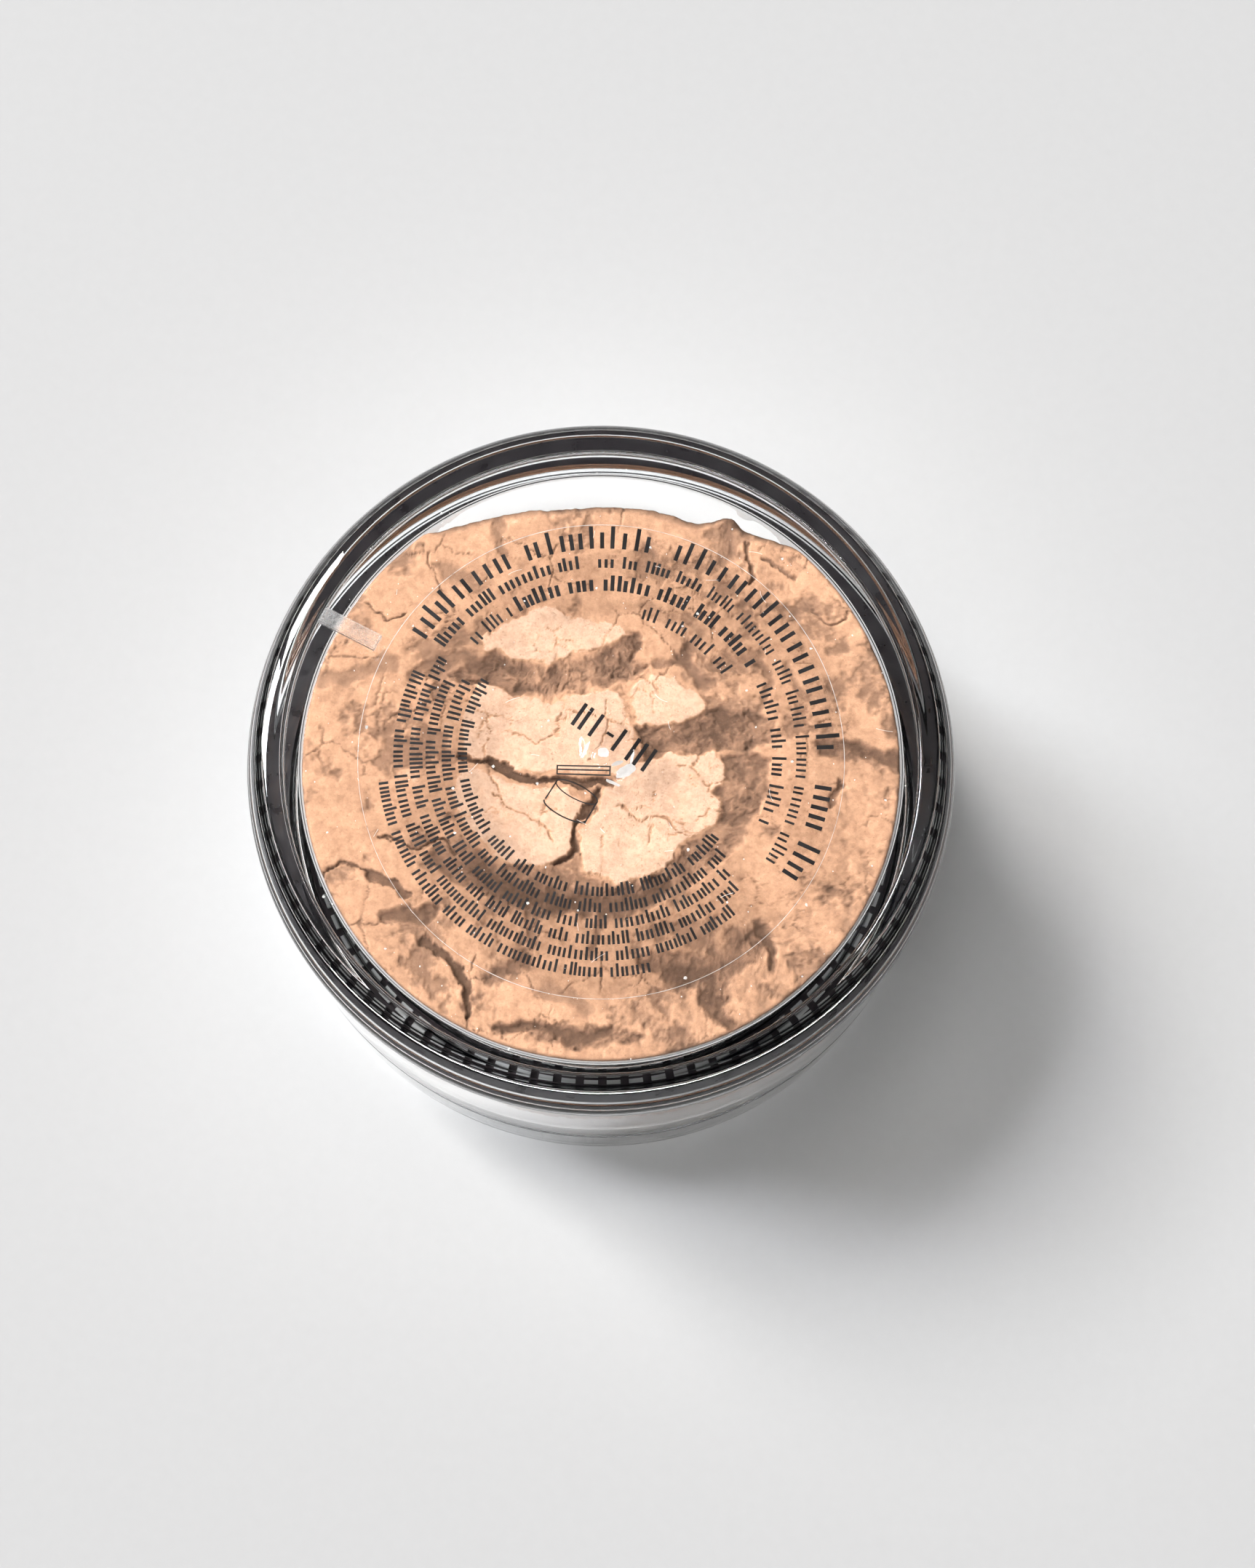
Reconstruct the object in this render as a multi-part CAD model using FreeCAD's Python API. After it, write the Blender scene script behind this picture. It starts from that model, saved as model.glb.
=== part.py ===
import FreeCAD, Part
import math
import os

# Loose-powder sifter jar, standing upside-down on its screw cap.
# Units are millimetres. The Z axis is the jar's axis, z = 0 is the face of the cap that the jar stands on,
# and +Z points to the jar's labelled base, which is on top.
# "Up" and "top" below mean +Z, so the jar's mouth points down.

# --- driving dimensions -------------------------------------------------------------------------------
BODY_R = 27.0            # outside of the jar and of the cap
TOTAL_H = 29.0           # cap face to foot ring
CAP_H = 10.0             # height of the cap, with the inner cap's flange on top
PARTING_GAP = 0.3        # open line between the cap and the jar's shoulder
FIT_GAP = 0.05           # clearance where two pieces of one body lie against each other

# jar body
FOOT_RING_IN_R = 24.0    # inner edge of the raised foot ring
FOOT_EDGE_ROUND = 2.2    # rounding of the foot ring's outer edge
FOOT_CREST_ROUND = 0.35  # rounding of the foot ring's inner edge
RECESS = 0.7             # the base lies this far below the foot ring
BASE_T = 2.2             # thickness of the base plate
CUP_BASE_R = 23.2        # cup radius at the base
CUP_MOUTH_R = 23.3       # cup radius at the mouth, so that the core can be drawn out
CUP_CORNER_ROUND = 0.5   # rounding between the cup's wall and its base
SHOULDER_ROUND = 0.5     # rounding of the shoulder's outer edge
NECK_R = 24.25           # neck, under the thread
NECK_FILLET = 0.4        # fillet between the neck and the shoulder
KEY_IN_R = 19.3          # inner end of the locating key
KEY_W = 1.3              # width of the key
KEY_H = 0.55             # height of the key above the base
KEY_SINK = 0.3           # the key starts this deep inside the base
KEY_END_SINK = 0.8       # and ends this deep inside the foot ring
KEY_ANGLE = 154.5        # direction of the key, degrees from +X
GATE_R = 0.75            # moulding gate mark in the middle of the base
GATE_H = 0.18
GATE_SINK = 0.2          # the mark starts this deep inside the base
GATE_ROUND = 0.14        # rounding of its edge

# thread: two starts, right-handed
LEAD = 6.0               # travel for one turn
STARTS = 2
RIDGE_ROOT = 1.4         # width of a ridge at its root
RIDGE_CREST = 0.7        # width of a ridge at its crest
NECK_CREST_R = 24.8      # crest of the neck's ridges
NECK_RIDGE_Z = (5.3, 8.7)
CAP_CREST_R = 24.4       # crest of the cap's ridges
CAP_RIDGE_Z = (4.7, 9.15)
RIDGE_SINK = 0.25        # a ridge starts this deep inside the wall that it stands on

# cap
SHELL_FACE_T = 1.4       # face of the outer shell
SHELL_IN_R = 25.75       # inside of the outer shell
SHELL_FACE_ROUND = 1.2   # rounding of the shell's edge on the face
SHELL_FACE_DISH = 0.25   # the middle of the face is this far in, so that the cap stands on a rim
SHELL_RIM_W = 2.6        # width of that rim
SHELL_LIP_ROUND = 0.35
INNER_FACE_T = 0.9       # face of the inner cap
INNER_WALL_R = 25.45     # outside of the inner cap, between the ribs
INNER_BORE_R = 24.95     # inside of the inner cap, between the thread ridges
FLANGE_R = 26.5          # the inner cap's flange covers the shell's lip
FLANGE_T = 0.35
INNER_EDGE_ROUND = 0.25  # rounding of the inner cap's outer edge
RIB_COUNT = 80
RIB_W = 0.9              # width of a rib at its foot
RIB_CREST_W = 0.45       # and at its crest
RIB_SINK = 0.2           # a rib starts this deep inside the wall
RIB_LOW_GAP = 0.4        # the ribs start this far above the inner cap's face
RIB_TOP_GAP = 0.2        # and end this far below its flange
RIB_AIR = 0.01           # air between a rib and the shell
LINER_T = 0.8
LINER_R = 24.1
LINER_ROUND = 0.15

# sifter and its seal
SIFTER_RIM_T = 0.5       # the rim that stands below the jar's lip
SIFTER_DISC_T = 0.7
SIFTER_RECESS = 1.1      # from the rim's outer face to the disc's outer face
TOOTH_COUNT = 80         # teeth round the rim, which rest on the jar's lip
TOOTH_TIP_R = 23.8
TOOTH_W = 1.15
SKIRT_H = 5.6            # height of the skirt, from the rim
SKIRT_T = 0.8
SKIRT_GAP = 0.08         # clearance between the skirt and the mouth, away from the bead
SKIRT_BEAD = 0.12        # the bead that grips the mouth stands this far out of the skirt
SKIRT_BEAD_HALF = 0.5    # half the bead's width
SKIRT_BEAD_UP = 2.6      # height of the bead above the rim
RIM_STEP = 0.6           # the rim is this much thicker than the skirt
TOOTH_SINK = 0.3         # a tooth starts this deep inside the rim
TOOTH_GAP = 0.02         # air between a tooth and the lip
HOLE_R = 0.8
HOLE_PITCH = 3.4         # distance from one ring of holes to the next
HOLE_RINGS = 3
SEAL_T = 0.12
FILM_AIR = 0.01          # air between a film and the face that it is stuck to
SEAL_R = 17.0
SEAL_TAB_W = 6.0
SEAL_TAB_REACH = 19.5
SEAL_EDGE_GAP = 0.3      # clearance between the tab's tip and the rim

# label and powder
LABEL_R = 18.5
LABEL_T = 0.08
BLISTER_R = 2.3          # the label lifts off the base within this radius, over the gate mark
BLISTER_AIR = 0.06       # air between the gate mark and the label
POWDER_R = 23.0
POWDER_DEPTH = 7.6
POWDER_BASE_GAP = 0.05   # air between the powder cake and the base
POWDER_BITE_R = 38.0     # the far edge of the cake is an arc of this radius ...
POWDER_BITE_X = 0.0      # ... about this centre
POWDER_BITE_Y = -17.4
POWDER_HUMPS = 9         # hollows that the broken lower side of the cake has
POWDER_HUMP_R = 9.0      # radius of a hollow's ball
POWDER_HUMP_TURN = 2.4   # radians from one hollow to the next, the golden angle
POWDER_HUMP_BITE = 0.9   # mean depth of a hollow
POWDER_HUMP_SWING = 0.5  # how much the depth varies

# --- heights worked out from them ------------------------------------------------------------------------
inner_face_z = SHELL_FACE_T + FIT_GAP
liner_z = inner_face_z + INNER_FACE_T + FIT_GAP
rim_z = liner_z + LINER_T + FIT_GAP
lip_z = rim_z + SIFTER_RIM_T
disc_z = rim_z + SIFTER_RECESS
shoulder_z = CAP_H + PARTING_GAP
base_z = TOTAL_H - RECESS
cup_top_z = base_z - BASE_T


# --- helpers ---------------------------------------------------------------------------------------------
def vec(radius, z):
    """A point of a profile: radius from the axis, and height."""
    return FreeCAD.Vector(radius, 0, z)


def turned(points):
    """The solid that a closed outline of (radius, z) points makes when it is turned about the axis."""
    outline = [vec(r, z) for r, z in points]
    wire = Part.makePolygon(outline + [outline[0]])
    return Part.Face(wire).revolve(vec(0, 0), FreeCAD.Vector(0, 0, 1), 360)


def ring(r_in, r_out, z_low, z_high):
    """A plain ring, or a disc where r_in is 0."""
    return turned([(r_in, z_low), (r_out, z_low), (r_out, z_high), (r_in, z_high)])


def round_edges(solid, places, radius):
    """Rounds the circular edges that run through the given (radius, z) places."""
    picked = []
    for edge in solid.Edges:
        curve = edge.Curve
        if not isinstance(curve, Part.Circle) or edge.Length < 0.9 * 2 * math.pi * curve.Radius:
            continue
        for r, z in places:
            if abs(curve.Radius - r) < 0.01 and abs(curve.Center.z - z) < 0.01:
                picked.append(edge)
    if len(picked) != len(places):
        raise ValueError("found %d edges for %s" % (len(picked), places))
    return solid.makeFillet(radius, picked)


def thread(root_r, crest_r, z_from, z_to, phase_z):
    """The helical ridges of one thread.

    The ridge centres pass angle 0 at phase_z, and at every LEAD / STARTS above it.
    """
    inward = -1 if crest_r < root_r else 1
    foot_r = root_r - inward * RIDGE_SINK
    slope = (RIDGE_ROOT - RIDGE_CREST) / 2 / abs(crest_r - root_r)
    foot_half = RIDGE_ROOT / 2 + slope * RIDGE_SINK
    crest_half = RIDGE_CREST / 2
    corners = [(foot_r, -foot_half), (crest_r, -crest_half), (crest_r, crest_half), (foot_r, foot_half)]
    ridges = []
    for start in range(STARTS):
        helix = Part.makeHelix(LEAD, z_to - z_from, root_r)
        outline = [vec(r, z) for r, z in corners]
        section = Part.makePolygon(outline + [outline[0]])
        ridge = Part.Wire(helix).makePipeShell([section], True, True)
        angle = 360.0 * (z_from - phase_z) / LEAD + start * 360.0 / STARTS
        ridge.rotate(vec(0, 0), FreeCAD.Vector(0, 0, 1), angle)
        ridge.translate(vec(0, z_from))
        ridges.append(ridge)
    return ridges


def save(shape, name):
    """Writes one node, and stops if a solid of it isn't sound."""
    shape = shape.removeSplitter()
    for solid in shape.Solids:
        if not solid.isValid() or not solid.isClosed() or solid.Volume <= 0:
            raise ValueError(name + " isn't a sound solid")
    shape.exportStep("parts/%s.step" % name)
    print("%-14s solids %3d  volume %9.2f mm3" % (name, len(shape.Solids), shape.Volume))


# --- the jar -----------------------------------------------------------------------------------------------
def jar_body():
    """Heavy-wall cup with its neck pointing down: foot ring, recessed base, key, gate mark and thread."""
    body = turned([
        (0, cup_top_z),
        (CUP_BASE_R, cup_top_z),
        (CUP_MOUTH_R, lip_z),
        (NECK_R, lip_z),
        (NECK_R, shoulder_z),
        (BODY_R, shoulder_z),
        (BODY_R, TOTAL_H),
        (FOOT_RING_IN_R, TOTAL_H),
        (FOOT_RING_IN_R, base_z),
        (0, base_z),
    ])
    body = round_edges(body, [(BODY_R, TOTAL_H)], FOOT_EDGE_ROUND)
    body = round_edges(body, [(FOOT_RING_IN_R, TOTAL_H)], FOOT_CREST_ROUND)
    body = round_edges(body, [(CUP_BASE_R, cup_top_z)], CUP_CORNER_ROUND)
    body = round_edges(body, [(BODY_R, shoulder_z)], SHOULDER_ROUND)
    body = round_edges(body, [(NECK_R, shoulder_z)], NECK_FILLET)
    pieces = thread(NECK_R, NECK_CREST_R, NECK_RIDGE_Z[0], NECK_RIDGE_Z[1], NECK_RIDGE_Z[0])
    pieces.append(locating_key())
    pieces.append(gate_mark())
    return body.fuse(pieces)


def locating_key():
    """Raised bar on the base that turns the jar to the same position on the filling line."""
    reach = FOOT_RING_IN_R + KEY_END_SINK
    bar = Part.makeBox(reach - KEY_IN_R, KEY_W, KEY_H + KEY_SINK)
    bar.translate(FreeCAD.Vector(KEY_IN_R, -KEY_W / 2, base_z - KEY_SINK))
    bar.rotate(vec(0, 0), FreeCAD.Vector(0, 0, 1), KEY_ANGLE)
    return bar


def gate_mark():
    """The flattened stub that the moulding gate leaves, under the label."""
    stub = ring(0, GATE_R, base_z - GATE_SINK, base_z + GATE_H)
    return round_edges(stub, [(GATE_R, base_z + GATE_H)], GATE_ROUND)


def base_label():
    """Clear film label, which bridges the gate mark with a low blister."""
    low = base_z + FILM_AIR
    lifted = base_z + GATE_H + BLISTER_AIR
    return turned([
        (0, lifted),
        (GATE_R, lifted),
        (BLISTER_R, low),
        (LABEL_R, low),
        (LABEL_R, low + LABEL_T),
        (BLISTER_R, low + LABEL_T),
        (GATE_R, lifted + LABEL_T),
        (0, lifted + LABEL_T),
    ])


def powder_fill():
    """Cake of loose powder against the base. Its far edge has crumbled away and its lower side is broken."""
    top = cup_top_z - POWDER_BASE_GAP
    low = top - POWDER_DEPTH
    cake = ring(0, POWDER_R, low, top)
    cake = round_edges(cake, [(POWDER_R, top)], CUP_CORNER_ROUND)
    rim = ring(0, POWDER_BITE_R, low, top)
    rim.translate(FreeCAD.Vector(POWDER_BITE_X, POWDER_BITE_Y, 0))
    cake = cake.common(rim)
    hollows = []
    for i in range(POWDER_HUMPS):
        angle = i * POWDER_HUMP_TURN
        reach = POWDER_R * math.sqrt((i + 0.6) / POWDER_HUMPS)
        bite = POWDER_HUMP_BITE + POWDER_HUMP_SWING * math.sin(3 * i)
        ball = Part.makeSphere(POWDER_HUMP_R)
        centre_z = low - POWDER_HUMP_R + bite
        ball.translate(FreeCAD.Vector(reach * math.cos(angle), reach * math.sin(angle), centre_z))
        hollows.append(ball)
    return cake.cut(hollows)


# --- the sifter --------------------------------------------------------------------------------------------
def sifter():
    """Perforated disc with a skirt that grips the mouth from inside and a toothed rim on the mouth's lip."""
    skirt_out = CUP_MOUTH_R - SKIRT_GAP
    skirt_in = skirt_out - SKIRT_T
    rim_in = skirt_in - RIM_STEP
    skirt_top = rim_z + SKIRT_H
    bead_z = rim_z + SKIRT_BEAD_UP
    body = turned([
        (0, disc_z),
        (rim_in, disc_z),
        (rim_in, rim_z),
        (skirt_out, rim_z),
        (skirt_out, bead_z - SKIRT_BEAD_HALF),
        (skirt_out + SKIRT_BEAD, bead_z),
        (skirt_out, bead_z + SKIRT_BEAD_HALF),
        (skirt_out, skirt_top),
        (skirt_in, skirt_top),
        (skirt_in, disc_z + SIFTER_DISC_T),
        (0, disc_z + SIFTER_DISC_T),
    ])
    return body.fuse(rim_teeth()).cut(sifter_holes())


def rim_teeth():
    """The ring of teeth round the sifter's rim."""
    teeth = []
    foot = CUP_MOUTH_R - SKIRT_GAP - TOOTH_SINK
    for i in range(TOOTH_COUNT):
        tooth = Part.makeBox(TOOTH_TIP_R - foot, TOOTH_W, SIFTER_RIM_T - TOOTH_GAP)
        tooth.translate(FreeCAD.Vector(foot, -TOOTH_W / 2, rim_z))
        tooth.rotate(vec(0, 0), FreeCAD.Vector(0, 0, 1), 360.0 * i / TOOTH_COUNT)
        teeth.append(tooth)
    return teeth


def sifter_holes():
    """One hole in the middle and rings of six, twelve and eighteen around it."""
    spots = [(0.0, 0.0)]
    for row in range(1, HOLE_RINGS + 1):
        count = 6 * row
        for i in range(count):
            angle = 2 * math.pi * i / count
            spots.append((row * HOLE_PITCH * math.cos(angle), row * HOLE_PITCH * math.sin(angle)))
    drills = []
    for x, y in spots:
        drill = Part.makeCylinder(HOLE_R, SIFTER_DISC_T + 1, FreeCAD.Vector(x, y, disc_z - 0.5))
        drills.append(drill)
    return drills


def sifter_seal():
    """Peel-off film that covers the sifter's holes, with a pull tab."""
    low = disc_z - SEAL_T - FILM_AIR
    film = ring(0, SEAL_R, low, low + SEAL_T)
    tab = Part.makeBox(SEAL_TAB_REACH, SEAL_TAB_W, SEAL_T, FreeCAD.Vector(0, -SEAL_TAB_W / 2, low))
    tip = Part.makeCylinder(SEAL_TAB_W / 2, SEAL_T, FreeCAD.Vector(SEAL_TAB_REACH, 0, low))
    reach = CUP_MOUTH_R - SKIRT_GAP - SKIRT_T - RIM_STEP - SEAL_EDGE_GAP
    inside = ring(0, reach, low, low + SEAL_T)
    return film.fuse([tab, tip]).common(inside)


# --- the cap -----------------------------------------------------------------------------------------------
def inner_cap():
    """Threaded cup inside the cap. Ribs key it to the outer shell, and its flange covers the shell's lip."""
    flange_z = CAP_H - FLANGE_T
    body = turned([
        (0, inner_face_z),
        (INNER_WALL_R, inner_face_z),
        (INNER_WALL_R, flange_z),
        (FLANGE_R, flange_z),
        (FLANGE_R, CAP_H),
        (INNER_BORE_R, CAP_H),
        (INNER_BORE_R, liner_z - FIT_GAP),
        (0, liner_z - FIT_GAP),
    ])
    body = round_edges(body, [(INNER_WALL_R, inner_face_z)], INNER_EDGE_ROUND)
    phase = NECK_RIDGE_Z[0] - LEAD / STARTS / 2
    pieces = thread(INNER_BORE_R, CAP_CREST_R, CAP_RIDGE_Z[0], CAP_RIDGE_Z[1], phase)
    pieces.extend(cap_ribs(flange_z))
    return body.fuse(pieces)


def cap_ribs(top):
    """The ring of upright ribs round the inner cap."""
    ribs = []
    low = inner_face_z + RIB_LOW_GAP
    height = top - RIB_TOP_GAP - low
    foot = INNER_WALL_R - RIB_SINK
    crest = SHELL_IN_R - RIB_AIR
    for i in range(RIB_COUNT):
        outline = [
            FreeCAD.Vector(foot, -RIB_W / 2, low),
            FreeCAD.Vector(crest, -RIB_CREST_W / 2, low),
            FreeCAD.Vector(crest, RIB_CREST_W / 2, low),
            FreeCAD.Vector(foot, RIB_W / 2, low),
        ]
        face = Part.Face(Part.makePolygon(outline + [outline[0]]))
        rib = face.extrude(FreeCAD.Vector(0, 0, height))
        rib.rotate(vec(0, 0), FreeCAD.Vector(0, 0, 1), 360.0 * i / RIB_COUNT)
        ribs.append(rib)
    return ribs


def outer_cap():
    """Clear outer shell. The jar stands on the rim of its face."""
    rim_in = BODY_R - SHELL_FACE_ROUND - SHELL_RIM_W
    top = CAP_H - FLANGE_T - FIT_GAP
    body = turned([
        (0, SHELL_FACE_DISH),
        (rim_in, SHELL_FACE_DISH),
        (rim_in + 2 * SHELL_FACE_DISH, 0),
        (BODY_R, 0),
        (BODY_R, top),
        (SHELL_IN_R, top),
        (SHELL_IN_R, SHELL_FACE_T),
        (0, SHELL_FACE_T),
    ])
    body = round_edges(body, [(BODY_R, 0)], SHELL_FACE_ROUND)
    return round_edges(body, [(BODY_R, top)], SHELL_LIP_ROUND)


def cap_liner():
    """Soft wad that seals against the sifter's rim."""
    wad = ring(0, LINER_R, liner_z, liner_z + LINER_T)
    return round_edges(wad, [(LINER_R, liner_z), (LINER_R, liner_z + LINER_T)], LINER_ROUND)


os.makedirs("parts", exist_ok=True)
save(jar_body(), "jar_body")
save(base_label(), "base_label")
save(powder_fill(), "powder_fill")
save(sifter(), "sifter")
save(sifter_seal(), "sifter_seal")
save(cap_liner(), "cap_liner")
save(inner_cap(), "inner_cap")
save(outer_cap(), "outer_cap")
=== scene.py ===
import math

import bmesh
import bpy
import numpy as np
from mathutils import Matrix, Vector


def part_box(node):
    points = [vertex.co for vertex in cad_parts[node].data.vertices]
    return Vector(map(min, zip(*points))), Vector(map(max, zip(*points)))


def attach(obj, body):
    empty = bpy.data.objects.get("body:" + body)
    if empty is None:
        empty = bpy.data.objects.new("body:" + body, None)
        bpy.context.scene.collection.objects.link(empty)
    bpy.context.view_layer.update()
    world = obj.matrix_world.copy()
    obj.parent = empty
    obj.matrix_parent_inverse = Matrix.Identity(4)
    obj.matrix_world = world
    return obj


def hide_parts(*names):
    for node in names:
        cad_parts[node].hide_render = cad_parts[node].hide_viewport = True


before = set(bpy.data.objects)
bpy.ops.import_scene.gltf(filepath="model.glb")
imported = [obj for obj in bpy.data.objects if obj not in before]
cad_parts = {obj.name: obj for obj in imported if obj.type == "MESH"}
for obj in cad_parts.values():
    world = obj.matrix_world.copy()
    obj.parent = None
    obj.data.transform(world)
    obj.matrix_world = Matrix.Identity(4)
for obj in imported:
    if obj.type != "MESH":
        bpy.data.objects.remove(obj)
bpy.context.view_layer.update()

# Loose-powder sifter jar, upside-down on its screw cap.
# Sizes are in millimetres, and become metres where a mesh is made.
MM = 0.001
SEGMENTS = 512           # round the clear pieces

# --- sizes, from the frame and as the CAD has them ---
def box_mm(node):
    """The low and high corners of a CAD node's box, in millimetres."""
    return [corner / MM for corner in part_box(node)]


jar_low, jar_high = box_mm("jar_body")
powder_low, powder_high = box_mm("powder_fill")
BODY_R = jar_high.x
TOTAL_H = jar_high.z
LIP_Z = jar_low.z
CAP_H = box_mm("inner_cap")[1].z
SHELL_TOP = box_mm("outer_cap")[1].z
PARTING_GAP = 0.3
RECESS = 0.7             # the base's face under the foot ring's crest
BASE_T = 2.2
SHOULDER_Z = CAP_H + PARTING_GAP
BASE_Z = TOTAL_H - RECESS
CUP_TOP_Z = BASE_Z - BASE_T
FOOT_RING_IN_R = 24.0
FOOT_EDGE_ROUND = 2.2
FOOT_CREST_ROUND = 0.35
CUP_BASE_R = 23.2
CUP_MOUTH_R = 23.3
CUP_CORNER_ROUND = 0.5
LIP_ROUND = 0.25         # softened edges of the jar's lip
NECK_R = 24.25
NECK_CREST_R = 24.8
SHELL_IN_R = 25.75
SHELL_FACE_T = 1.4
SHELL_EDGE_ROUND = 1.2
SHELL_LIP_ROUND = 0.35
FACE_RIM_W = 2.6         # width of the flat rim that the cap stands on
FACE_SINK = 0.25         # the face inside the rim
WALL_ROUND = 0.5         # the jar's wall into its shoulder
NECK_ROOT_ROUND = 0.4
LEAD = 6.0
STARTS = 2
KEY_IN_R = 19.3
KEY_W = 1.3
KEY_H = 0.55
KEY_SINK = 0.3           # how far the key's tool reaches into the base
KEY_END_SINK = 0.5       # and into the foot ring
KEY_EDGE_ROUND = 0.1
KEY_ANGLE = 154.5
GATE_R = 0.75
GATE_H = 0.18
LABEL_R = box_mm("base_label")[1].x
LABEL_T = 0.08
LABEL_Z = BASE_Z + 0.01 + LABEL_T      # the film's outer face
POWDER_R = powder_high.x
POWDER_TOP = powder_high.z
POWDER_LOW = powder_low.z
BITE_R = 38.0            # the crescent's edge is an arc about (0, BITE_Y)
BITE_Y = -17.4
SHARP_DEG = 32           # edges sharper than this stay sharp


# --- noise ---
def lattice(ix, iy, seed):
    """A fixed random number from 0 to 1 for each corner of a grid."""
    h = (ix * 374761393 + iy * 668265263 + seed * 974711) & 0xFFFFFFFF
    h = ((h ^ (h >> 13)) * 1274126177) & 0xFFFFFFFF
    return ((h ^ (h >> 16)) & 0xFFFF) / 65535.0


def noise(x, y, size, seed):
    """Smooth noise from -1 to 1 with lumps of about that size."""
    u, v = x / size, y / size
    iu, iv = np.floor(u).astype(np.int64), np.floor(v).astype(np.int64)
    su, sv = u - iu, v - iv
    su, sv = su * su * (3 - 2 * su), sv * sv * (3 - 2 * sv)
    low = lattice(iu, iv, seed) * (1 - su) + lattice(iu + 1, iv, seed) * su
    high = lattice(iu, iv + 1, seed) * (1 - su) + lattice(iu + 1, iv + 1, seed) * su
    return 2 * (low * (1 - sv) + high * sv) - 1


def rough(x, y, size, seed, octaves=4, gain=0.5):
    """Noise with finer and finer lumps added."""
    total, weight, scale = 0, 1.0, 0.0
    for i in range(octaves):
        total = total + weight * noise(x, y, size / 2**i, seed + i)
        scale += weight
        weight *= gain
    return total / scale


def cells(x, y, size, seed):
    """Distances, as shares of size, to the nearest and second nearest of a jittered grid's points."""
    u, v = x / size, y / size
    iu, iv = np.floor(u).astype(np.int64), np.floor(v).astype(np.int64)
    first = np.full(u.shape, 9.0)
    second = np.full(u.shape, 9.0)
    for du in (-1, 0, 1):
        for dv in (-1, 0, 1):
            px = iu + du + 0.15 + 0.7 * lattice(iu + du, iv + dv, seed)
            py = iv + dv + 0.15 + 0.7 * lattice(iu + du, iv + dv, seed + 1)
            away = np.hypot(px - u, py - v)
            second = np.minimum(second, np.maximum(first, away))
            first = np.minimum(first, away)
    return first, second


def step(value, start, end):
    """Goes smoothly from 0 at start to 1 at end."""
    t = np.clip((value - start) / (end - start), 0, 1)
    return t * t * (3 - 2 * t)


def stroke_distance(x, y, points):
    """Distance to a line through the points."""
    best = np.full(x.shape, 99.0)
    for (x0, y0), (x1, y1) in zip(points, points[1:]):
        dx, dy = x1 - x0, y1 - y0
        t = np.clip(((x - x0) * dx + (y - y0) * dy) / (dx * dx + dy * dy), 0, 1)
        best = np.minimum(best, np.hypot(x - x0 - t * dx, y - y0 - t * dy))
    return best


def patch_distance(x, y, outline):
    """Distance to a closed outline, negative inside it."""
    closed = outline + [outline[0]]
    inside = np.zeros(x.shape, dtype=bool)
    for (x0, y0), (x1, y1) in zip(closed, closed[1:]):
        crosses = (y0 > y) != (y1 > y)
        at = x0 + (y - y0) * (x1 - x0) / ((y1 - y0) or 1e-9)
        inside ^= crosses & (x < at)
    away = stroke_distance(x, y, closed)
    return np.where(inside, -away, away)


# --- mesh helpers ---
def arc(cx, cz, radius, start, end, count=10):
    """Points of an arc in the (r, z) plane, from the start angle to the end angle in degrees."""
    return [
        (cx + radius * math.cos(math.radians(a)), cz + radius * math.sin(math.radians(a)))
        for a in np.linspace(start, end, count + 1)
    ]


def with_support(points, gap=0.06):
    """The outline with a point near each end of a long straight, which keeps its shading flat."""
    full = []
    for (r0, z0), (r1, z1) in zip(points, points[1:]):
        full.append((r0, z0))
        length = math.hypot(r1 - r0, z1 - z0)
        if length > 6 * gap:
            for share in (gap / length, 1 - gap / length):
                full.append((r0 + (r1 - r0) * share, z0 + (z1 - z0) * share))
    full.append(points[-1])
    return full


def lathe(name, outline, segments=SEGMENTS, shape=None, sharp_deg=SHARP_DEG):
    """A mesh turned about the Z axis, from an outline that starts and ends on the axis.

    shape(r, z, angles) may return other radii and heights for a row.
    """
    angles = np.arange(segments) * 2 * math.pi / segments
    verts, rows = [], []
    for r, z in outline:
        if r < 1e-6:
            rows.append([len(verts)] * segments)
            verts.append((0.0, 0.0, z * MM))
            continue
        radii, heights = np.full(segments, r), np.full(segments, z)
        if shape:
            radii, heights = shape(radii, heights, angles)
        rows.append(list(range(len(verts), len(verts) + segments)))
        verts.extend(np.stack([radii * np.cos(angles), radii * np.sin(angles), heights], 1) * MM)
    faces = []
    for low, high in zip(rows, rows[1:]):
        for i in range(segments):
            j = (i + 1) % segments
            faces.append(list(dict.fromkeys([low[i], low[j], high[j], high[i]])))
    return make_piece(name, verts, faces, sharp_deg)


def make_piece(name, verts, faces, sharp_deg=SHARP_DEG):
    """An object in the scene, with its faces outward and smooth shading that keeps sharp corners."""
    mesh = bpy.data.meshes.new(name)
    mesh.from_pydata([tuple(map(float, v)) for v in verts], [], faces)
    bm = bmesh.new()
    bm.from_mesh(mesh)
    bmesh.ops.recalc_face_normals(bm, faces=bm.faces)
    bm.to_mesh(mesh)
    bm.free()
    mesh.shade_smooth()
    mesh.set_sharp_from_angle(angle=math.radians(sharp_deg))
    obj = bpy.data.objects.new(name, mesh)
    bpy.context.scene.collection.objects.link(obj)
    return obj


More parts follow.
